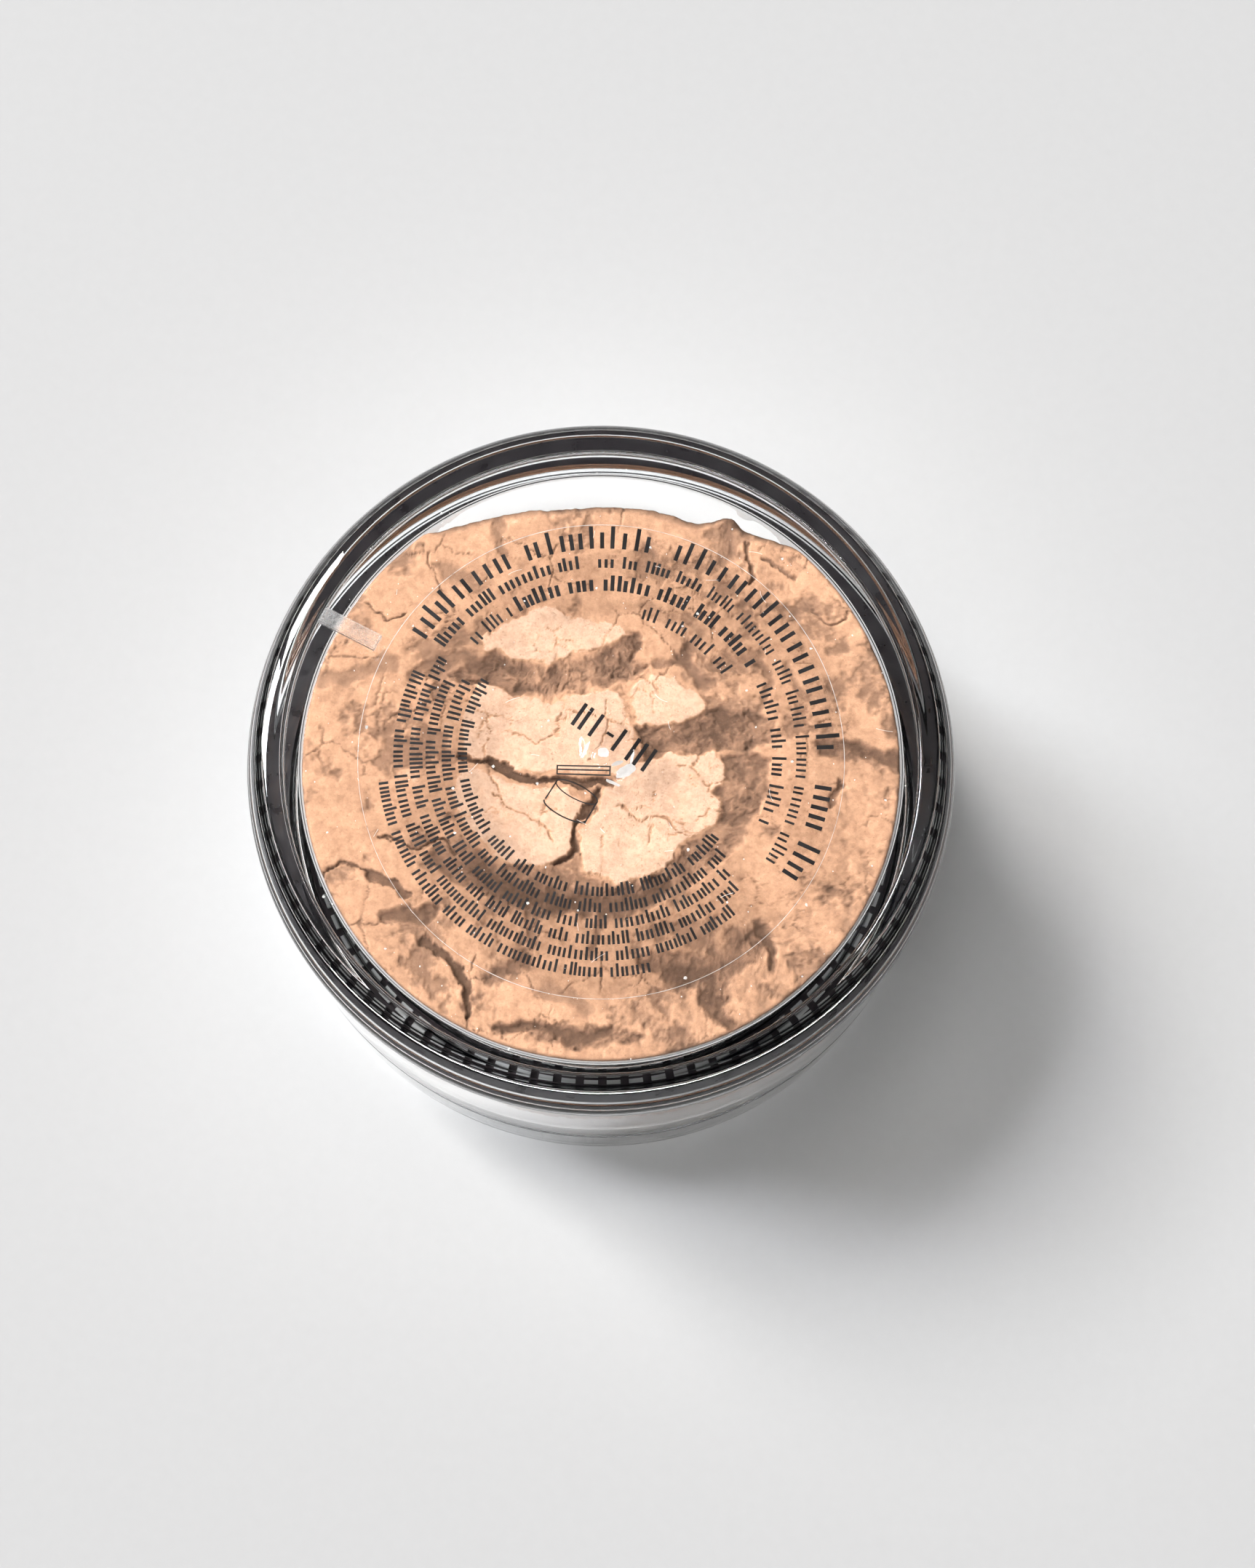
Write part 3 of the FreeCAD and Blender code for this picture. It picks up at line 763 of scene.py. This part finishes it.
def powder_depth(x, y):
    """How far the cake's surface lies below its highest level, in millimetres."""
    tone = powder_tone(x, y)
    depth = CAKE_FALL * (1 - tone) ** 1.9
    loose = step(1 - tone, 0.1, 0.5)
    grain = 0.016 * rough(x, y, 0.45, 111, 3) + 0.012 * rough(x, y, 1.3, 121, 3)
    lumps = 0.07 * loose * np.abs(rough(x, y, 0.8, 131, 4, 0.6)) * step(rough(x, y, 2.4, 141), -0.2, 0.4)
    return np.clip(depth + (0.3 + 0.7 * loose) * grain + lumps + 0.012, 0, 0.8)


def cake_reach(angles):
    """Radius of the cake's top edge: the cup's wall, or the crumbled far edge."""
    x, y = np.cos(angles), np.sin(angles)
    far = BITE_Y * y + np.sqrt(BITE_R**2 - (BITE_Y * x) ** 2)
    far = far + 0.20 * rough(angles * POWDER_R, far * 0, 2.6, 151, 5, 0.62)
    degrees = angles * 180 / math.pi
    far = far + 0.7 * np.exp(-((degrees - 65.0) / 2.6) ** 2)      # a lump that stands out
    far = far - 0.5 * np.exp(-((degrees - 72.0) / 4.0) ** 2)      # and a nick beside it
    return np.minimum(POWDER_R, far)


def round_grid(count):
    """x and y of a square grid's points pulled round into a disc of radius 1."""
    a, b = np.meshgrid(np.linspace(-1, 1, count), np.linspace(-1, 1, count))
    safe_a, safe_b = np.where(a == 0, 1e-9, a), np.where(b == 0, 1e-9, b)
    wide = np.abs(a) > np.abs(b)
    reach = np.where(wide, a, b)
    angle = np.where(wide, math.pi / 4 * b / safe_a, math.pi / 2 - math.pi / 4 * a / safe_b)
    return reach * np.cos(angle), reach * np.sin(angle)


def cake_top():
    """x, y and z of the cake's top, on a grid. Its edge is rounded, and more so where it stands free."""
    x, y = round_grid(CAKE_GRID)
    edge = cake_reach(np.arctan2(y, x) % (2 * math.pi))
    x, y = x * edge, y * edge
    share = np.hypot(x, y) / edge
    gap = (1 - share) * edge
    fall = powder_depth(x, y)
    inward = np.clip(1 - gap / CAKE_EDGE_ROUND, 0, 1)
    fall = fall + CAKE_EDGE_ROUND * (1 - np.sqrt(1 - inward**2 + 1e-9))
    free = step(POWDER_R - edge, 0.05, 0.5)
    fall = fall + free * 0.5 * (1 - step(gap, 0.0, 0.9)) * (0.6 + 0.4 * rough(x, y, 0.8, 161))
    return x, y, POWDER_TOP - fall


def cake_row(rx, ry, rz, share, down):
    """One row of points under the rim: on the side where share is 1, and inside it on the lower face."""
    if share == 1.0:
        broken = rough(rx + 9 * down, ry - 7 * down, 1.5, 181, 6, 0.68) + 0.5 * (down - 0.75)
        reach = 1 - 0.035 * np.clip(broken, 0, 1)
    else:
        reach = share
    lump_share = max(share, 0.2)
    lumps = 0.8 * rough(rx * lump_share, ry * lump_share, 5.0, 171, 7, 0.66)
    low = POWDER_LOW + 0.9 + lumps
    return np.stack([rx * reach, ry * reach, rz + (low - rz) * down], 1) * MM


def powder_cake():
    """The cake: a finely modelled top, then its side and its broken lower face."""
    n = CAKE_GRID
    x, y, z = (values.ravel() for values in cake_top())
    verts = list(np.stack([x, y, z], 1) * MM)
    grid = np.arange(n * n).reshape(n, n)
    quads = np.stack([grid[:-1, :-1], grid[:-1, 1:], grid[1:, 1:], grid[1:, :-1]], -1)
    faces = quads.reshape(-1, 4).tolist()
    rim = np.concatenate([grid[0, :-1], grid[:-1, -1], grid[-1, :0:-1], grid[:0:-1, 0]])
    side = [(1.0, down) for down in np.linspace(0.06, 0.94, 16)]
    underside = [(share, 1.0) for share in np.linspace(0.985, 0.03, 30)]
    last = rim.tolist()
    for share, down in side + underside:
        row = list(range(len(verts), len(verts) + len(rim)))
        verts.extend(cake_row(x[rim], y[rim], z[rim], share, down))
        for i in range(len(rim)):
            j = (i + 1) % len(rim)
            faces.append([last[i], last[j], row[j], row[i]])
        last = row
    faces.append(list(reversed(last)))
    return make_piece("powder_cake", verts, faces, 180)


powder = powder_cake()
powder.data.materials.append(powder_material())
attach(powder, "jar")
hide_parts("powder_fill")


# --- label ---
BLISTER_R = 2.3
GATE_AIR = 0.06          # between the gate mark and the film over it
LABEL_BEVEL = 0.03


def label_lift(x, y):
    """The film's height over the base where it bridges the gate mark: a low dome with a few folds."""
    r = np.hypot(x, y)
    dome = (GATE_H + GATE_AIR) * (1 - step(r, GATE_R, BLISTER_R))
    fold = 0.17 * np.exp(-((x + 0.2 * y + 1.05) / 0.30) ** 2) * (1 - step(np.abs(y - 0.5), 0.4, 1.5))
    ridge = 0.22 * np.exp(-((x * 0.6 - y * 0.8 - 2.0) / 0.34) ** 2)
    ridge = ridge * (1 - step(np.abs(x * 0.8 + y * 0.6 - 0.7), 0.3, 1.1))
    crease = 0.06 * np.exp(-((x - 0.4 * y - 1.1) / 0.18) ** 2)
    return dome + (fold + ridge + crease) * (1 - step(r, 2.1, BLISTER_R + 0.5))


def label_shape(radii, heights, angles):
    """Lifts the film over the gate mark."""
    return radii, heights + label_lift(radii * np.cos(angles), radii * np.sin(angles))


def label_outline():
    """The film's section, fine over the blister."""
    inner = [(0.07 * i, LABEL_Z) for i in range(1, 43)]
    outer = [(r, LABEL_Z) for r in (4, 8, 13, LABEL_R - 0.10, LABEL_R - LABEL_BEVEL)]
    top = [(0, LABEL_Z + GATE_H + GATE_AIR)] + inner + outer + [(LABEL_R, LABEL_Z - 0.02)]
    low = LABEL_Z - LABEL_T
    bottom = [(LABEL_R, low), (13, low), (8, low), (4, low)] + [(r, low) for r, _ in reversed(inner)]
    return top + bottom + [(0, low + GATE_H + GATE_AIR)]


film = lathe("label_film", label_outline(), shape=label_shape, sharp_deg=60)
film.data.materials.append(film_material())
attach(film, "jar")
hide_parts("base_label")

# Painted highlights on the blister: centre, half length, half width, turn in degrees, seed. The first is
# the gate mark itself.
GLINTS = [
    (0.15, 0.35, 0.42, 0.36, 0.0, 201),
    (1.90, -1.00, 0.85, 0.42, 38.0, 203),
    (1.25, -0.45, 0.50, 0.16, 25.0, 205),
    (-1.20, 0.50, 0.70, 0.13, 68.0, 207),
    (2.35, 0.10, 0.55, 0.12, 80.0, 209),
    (0.95, -1.95, 0.60, 0.12, -20.0, 211),
]
GLINT_Z = LABEL_Z + 0.012
GLINT_T = 0.006


def lift_at(x, y):
    """The film's lift at one point."""
    return float(label_lift(np.array(x), np.array(y)))


def blister_glints():
    """Painted highlights, as ragged thin white flakes on the blister where the film has come off the
    base.
    """
    slabs = Slabs()
    for cx, cy, long, wide, turn, seed in GLINTS:
        c, s = math.cos(math.radians(turn)), math.sin(math.radians(turn))
        loop = []
        for angle in np.linspace(0, 2 * math.pi, 40, endpoint=False):
            u, v = math.cos(angle), math.sin(angle)
            reach = 1 + 0.30 * float(rough(np.array(u), np.array(v), 0.6, seed, 3))
            u, v = long * reach * u, wide * reach * v
            x, y = cx + u * c - v * s, cy + u * s + v * c
            loop.append((x, y, GLINT_Z + lift_at(x, y)))
        slabs.slab(loop, GLINT_T)
    return make_piece("blister_glints", slabs.verts, slabs.faces, 30)


glints = blister_glints()
# Painted highlights on the blister's folds.
glints.data.materials.append(dust_and_glint_material("painted_blister_highlight", 0.10))
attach(glints, "jar")

PRINT_T = 0.008
PRINT_Z = LABEL_Z + 0.004
PRINT_X, PRINT_Y = 0.1, 0.3      # centre of the printed arcs


def bar(slabs, angle, radius, height, width):
    """One upright bar of the print on an arc, its foot at that radius."""
    c, s = math.cos(math.radians(angle)), math.sin(math.radians(angle))
    points = [(PRINT_X + r * c, PRINT_Y + r * s) for r in (radius, radius + height / 2, radius + height)]
    slabs.strip(points, width, PRINT_Z, PRINT_T)


def bar_line(slabs, rng, radius, start, end, height, pitch, width, words):
    """Upright bars in groups, in place of a line of print, from the start to the end angle."""
    turn = 1 if end > start else -1
    along = turn * math.degrees(pitch / radius)
    angle = start
    while (end - angle) * turn > 0:
        for _ in range(int(rng.integers(*words))):
            tall = 1.0 if rng.random() < 0.3 else 0.72
            bar(slabs, angle, radius, -turn * height * tall, width)
            angle += along * rng.uniform(0.85, 1.25)
            if (end - angle) * turn <= 0:
                break
        angle += along * 1.1


def jar_sign(slabs):
    """A small plain outline of an open jar."""
    def put(points, width=0.11):
        slabs.strip(points, width, PRINT_Z, PRINT_T)

    def ellipse(cx, cy, a, b, start, end, tilt, count=20):
        points = []
        for t in np.linspace(math.radians(start), math.radians(end), count):
            px, py = a * math.cos(t), b * math.sin(t)
            c, s = math.cos(math.radians(tilt)), math.sin(math.radians(tilt))
            points.append((cx + px * c - py * s, cy + px * s + py * c))
        return points

    put([(-3.3, -0.75), (0.7, -0.75)])
    put([(-3.3, -1.05), (0.7, -1.05)])
    put([(-3.3, -1.4), (0.7, -1.4)])
    put([(-3.3, -0.7), (-3.3, -1.45)])
    put([(0.7, -0.7), (0.7, -1.45)])
    tilt = -26
    put(ellipse(-1.75, -2.75, 1.75, 0.55, 0, 359, tilt, 40), 0.09)
    put([(-3.3, -1.98), (-4.1, -3.35)])
    put([(-0.2, -3.5), (-1.1, -5.2)])
    put(ellipse(-2.62, -4.2, 1.75, 0.5, 180, 360, tilt))


# Lines of bars on arcs: radius, (start, end) angles, height, pitch, bar width, bars in a group.
LINES = [
    (16.25, ((148, 116), (112, 78), (72, 1), (-7, -19), (-23, -33)), 1.8, 0.8, 0.32, (30, 31)),
    (14.7, ((147, 98),), 1.05, 0.42, 0.25, (4, 10)),
    (14.7, ((93, 62),), 0.95, 0.42, 0.24, (2, 6)),
    (14.7, ((59, -32),), 1.05, 0.42, 0.18, (5, 11)),
    (12.85, ((140, 124),), 1.1, 0.42, 0.19, (2, 6)),
    (12.85, ((121, 34),), 1.25, 0.48, 0.31, (4, 9)),
    (12.85, ((26, -22),), 1.1, 0.42, 0.2, (4, 8)),
    (11.0, ((76, 36),), 1.1, 0.44, 0.2, (3, 6)),
]
# Six lines that read the other way up, each further out.
LOWER_LINES = ((150, 325), (154, 322), (157, 318), (151, 316), (158, 312), (190, 285))
LOWER_R, LOWER_STEP = 11.0, 1.22
CODE_PLACES = (-3.3, -2.7, -1.75, -0.45, 0.35, 1.6, 2.3, 3.1)
CODE_DASH = -0.45        # the short wide one of them
CODE_LEAN = math.radians(-32)
CODE_X, CODE_Y = 1.0, 1.55


def code_bars(slabs):
    """The leaning row of bars in the middle."""
    c, s = math.cos(CODE_LEAN), math.sin(CODE_LEAN)
    for place in CODE_PLACES:
        cx, cy = CODE_X + place * c, CODE_Y + place * s
        half, width = (0.12, 0.6) if place == CODE_DASH else (1.0, 0.3)
        dx, dy = -s * half, c * half
        slabs.strip([(cx - dx, cy - dy), (cx, cy), (cx + dx, cy + dy)], width, PRINT_Z, PRINT_T)


def label_print():
    """The print on the film, all of it plain bars in place of words."""
    rng = np.random.default_rng(5)
    slabs = Slabs()
    for radius, arcs, height, pitch, width, words in LINES:
        for start, end in arcs:
            bar_line(slabs, rng, radius, start, end, height, pitch, width, words)
    for i, (start, end) in enumerate(LOWER_LINES):
        bar_line(slabs, rng, LOWER_R + LOWER_STEP * i, start, end, 1.0, 0.37, 0.2, (4, 13))
    code_bars(slabs)
    jar_sign(slabs)
    lifted = [(x, y, z + lift_at(x / MM, y / MM) * MM) for x, y, z in slabs.verts]
    return make_piece("label_print", lifted, slabs.faces, 30)


marks = label_print()
marks.data.materials.append(moulded("black_ink", (0.014, 0.012, 0.012), 0.4, 4000, 0.1, 0.3))
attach(marks, "jar")


EDGE_STEP = 1.04         # degrees that one piece of the painted highlight on the cut edge spans
EDGE_GAP_SHARE = 0.18    # below this share of brightness the painted highlight is left out and the edge stays dark


def label_edge_glint():
    """The film's cut edge, drawn as a thin broken white line: a painted highlight."""
    slabs = Slabs()
    radius = LABEL_R - 0.05
    for i in range(360):
        share = 0.5 + 0.5 * float(rough(np.array(i * 0.32), np.array(3.0), 5.0, 181, 3))
        if share < EDGE_GAP_SHARE:
            continue
        angles = np.radians([i - EDGE_STEP / 2, i, i + EDGE_STEP / 2])
        points = [(radius * math.cos(t), radius * math.sin(t)) for t in angles]
        slabs.strip(points, 0.02 + 0.04 * share, LABEL_Z - 0.02, 0.025)
    return make_piece("label_edge_glint", slabs.verts, slabs.faces, 30)


edge = label_edge_glint()
# White flakes that paint the cut edge's highlight.
edge.data.materials.append(dust_and_glint_material("cut_edge_glint", 0.45))
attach(edge, "jar")


SPECKS, SPECK_T = 230, 0.02
LINTS, LINT_T = 26, 0.01


def base_top(r):
    """Height of the surface at that radius, on the film or on the base round it."""
    return LABEL_Z if r < LABEL_R else BASE_Z


def add_speck(slabs, rng):
    """One speck of dust. The ones that would fall on the blister are drawn but left out."""
    r, angle = 23.4 * math.sqrt(rng.random()), rng.random() * 2 * math.pi
    x, y = r * math.cos(angle), r * math.sin(angle)
    z = base_top(r) + 0.015
    size = 0.03 + 0.11 * rng.random() ** 3
    sides = int(rng.integers(4, 8))
    loop = []
    for i in range(sides):
        a = 2 * math.pi * i / sides
        reach = size * rng.uniform(0.5, 1.2)
        loop.append((x + reach * math.cos(a), y + reach * math.sin(a), z))
    if r > BLISTER_R + 0.5:
        slabs.slab(loop, SPECK_T)


def add_lint(slabs, rng):
    """One bent thread of lint or hairline scratch, clear of the film's edge and the recess's side."""
    r, angle = rng.uniform(4, 22), rng.random() * 2 * math.pi
    x, y = r * math.cos(angle), r * math.sin(angle)
    z = base_top(r) + 0.012
    heading, bend, length = rng.random() * 2 * math.pi, rng.normal(0, 0.5), rng.uniform(0.3, 1.3)
    points = []
    for _ in range(7):
        points.append((x, y))
        heading += bend * length / 6
        x, y = x + math.cos(heading) * length / 6, y + math.sin(heading) * length / 6
    reach = math.hypot(x, y)
    if reach < 23.2 and abs(reach - LABEL_R) > 0.2:
        slabs.strip(points, rng.uniform(0.015, 0.03), z, LINT_T)


def dust():
    """Dust, lint and hairline scratches on the base."""
    rng = np.random.default_rng(17)
    slabs = Slabs()
    for _ in range(SPECKS):
        add_speck(slabs, rng)
    for _ in range(LINTS):
        add_lint(slabs, rng)
    return make_piece("dust_specks", slabs.verts, slabs.faces, 30)


specks = dust()
specks.data.materials.append(dust_and_glint_material("dust", 0.15))
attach(specks, "jar")


# --- pieces that keep their CAD mesh ---
# Painted shade on the sifter from inside its rim outward, for the shade inside the black inner cap: full
# brightness, then dim, then a little paler on the teeth.
SIFTER_PAINTED_SHADE = [(0.0, 1.0), (0.4, 0.9), (0.62, 0.16), (0.84, 0.06), (0.9, 0.42), (1.0, 0.5)]


def sifter_material():
    """White moulded plastic, whose thin rim and teeth are darkened to grey as painted shade inside the
    black inner cap.
    """
    n = moulded_nodes("white_plastic", (0.86, 0.86, 0.85), 0.42, 2200, 0.12, 0.05)
    full = n.shader.inputs["Base Color"].links[0].from_socket
    parts = n.add("SeparateXYZ")
    n.join(n.place(), parts.inputs[0])
    flat = n.add("CombineXYZ")
    n.join(parts.outputs["X"], flat.inputs["X"])
    n.join(parts.outputs["Y"], flat.inputs["Y"])
    reach = n.add("VectorMath", operation="LENGTH")
    n.join(flat.outputs[0], reach.inputs[0])
    outward = n.span(reach.outputs["Value"], CUP_MOUTH_R - 1.5, CUP_MOUTH_R + 0.5)
    # Painted shade: darkens the rim and the teeth.
    painted_shade = n.ramp(outward, SIFTER_PAINTED_SHADE)
    n.join(n.mixed(1.0, full, painted_shade, "MULTIPLY"), n.shader.inputs["Base Color"])
    return n.material


LOOKS = {
    "inner_cap": moulded("black_plastic", (0.008, 0.0065, 0.0075), 0.3, 2500, 0.1),
    "sifter": sifter_material(),
    "sifter_seal": moulded("seal_film", (0.90, 0.90, 0.90), 0.30, 700, 0.35, 0.04),
    "cap_liner": moulded("liner_foam", (0.040, 0.028, 0.031), 0.7, 5000, 0.5),
}
for name, material in LOOKS.items():
    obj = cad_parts[name]
    obj.data.materials.clear()
    obj.data.materials.append(material)


# --- stage ---
FLOOR_HALF = 3.0         # metres, as are the lights' places and sizes
PAPER_DARK, PAPER_LIGHT = (0.615, 0.615, 0.615), (0.64, 0.64, 0.64)


def paper():
    """Matt white paper, very slightly mottled."""
    n = Nodes("paper")
    n.join(n.mixed(n.noise(900, 3), PAPER_DARK, PAPER_LIGHT), n.shader.inputs["Base Color"])
    n.set(Roughness=0.95, Specular_IOR_Level=0.1)
    return n.material


def lay_floor():
    """The table top, one flat square."""
    h = FLOOR_HALF
    mesh = bpy.data.meshes.new("floor")
    mesh.from_pydata([(-h, -h, 0), (h, -h, 0), (h, h, 0), (-h, h, 0)], [], [(0, 1, 2, 3)])
    mesh.materials.append(paper())
    obj = bpy.data.objects.new("floor", mesh)
    bpy.context.scene.collection.objects.link(obj)
    return obj


floor = lay_floor()

AIM = Vector((2.06, 4.30, 0)) * MM
DISTANCE = 235.8 * MM
ELEVATION = 77.5         # degrees above the table
ROLL = -2.05             # degrees
LENS = 62.7


def place_camera():
    """Looks steeply down at the base from the near side."""
    data = bpy.data.cameras.new("camera")
    data.lens = LENS
    data.sensor_width = 36
    cam = bpy.data.objects.new("camera", data)
    bpy.context.scene.collection.objects.link(cam)
    tilt = math.radians(90 - ELEVATION)
    forward = Vector((0, math.sin(tilt), -math.cos(tilt)))
    right = Vector((1, 0, 0))
    up = right.cross(forward)
    roll = math.radians(ROLL)
    cam_x = right * math.cos(roll) - up * math.sin(roll)
    cam_y = right * math.sin(roll) + up * math.cos(roll)
    turn = Matrix((cam_x, cam_y, -forward)).transposed().to_4x4()
    cam.matrix_world = Matrix.Translation(AIM - forward * DISTANCE) @ turn
    data.clip_start = 0.01
    bpy.context.scene.camera = cam


place_camera()


def area(name, place, target, size, power, colour=(1, 1, 1), mirrored=True):
    """A soft light. One that isn't mirrored lights things without showing in gloss or through plastic."""
    data = bpy.data.lights.new(name, "AREA")
    data.shape = "RECTANGLE"
    data.size, data.size_y = size
    data.energy = power
    data.color = colour
    obj = bpy.data.objects.new(name, data)
    bpy.context.scene.collection.objects.link(obj)
    obj.location = place
    obj.rotation_euler = (Vector(target) - Vector(place)).to_track_quat("-Z", "Y").to_euler()
    obj.visible_glossy = mirrored
    obj.visible_transmission = mirrored
    return obj


PANE = (0.8, 1.5)
CENTRE = (0, 0, 0)
# A window of two panes, upper left, and a weak wide light from above that only fills.
area("window_left", (-2.55, 1.05, 2.50), CENTRE, PANE, 108, (0.965, 0.985, 1.02))
area("window_right", (-2.05, 1.80, 2.50), CENTRE, PANE, 105, (1.02, 1.005, 0.985))
area("fill", (0.1, -0.1, 1.4), CENTRE, (1.6, 1.6), 5, (1.0, 0.96, 0.91), mirrored=False)
# A long thin light that shows only as a reflection.
strip = area("strip", (0, -0.70, 1.08), CENTRE, (2.6, 0.07), 22)
strip.visible_diffuse = False
strip.visible_transmission = False

ROOM_DARK = (0.008, 0.008, 0.010, 1)
BACKDROP_PALE = (0.78, 0.78, 0.78, 1)


def make_room():
    """A dark room that lights almost nothing, with a pale backdrop for views from the side."""
    world = bpy.data.worlds.new("room")
    bpy.context.scene.world = world
    world.use_nodes = True
    nodes, links = world.node_tree.nodes, world.node_tree.links
    dark = nodes["Background"]
    dark.inputs["Color"].default_value = ROOM_DARK
    pale = nodes.new("ShaderNodeBackground")
    pale.inputs["Color"].default_value = BACKDROP_PALE
    seen = nodes.new("ShaderNodeLightPath")
    backdrop = nodes.new("ShaderNodeMixShader")
    links.new(seen.outputs["Is Camera Ray"], backdrop.inputs[0])
    links.new(dark.outputs[0], backdrop.inputs[1])
    links.new(pale.outputs[0], backdrop.inputs[2])
    links.new(backdrop.outputs[0], nodes["World Output"].inputs["Surface"])


make_room()
bpy.context.scene.view_settings.view_transform = "Standard"
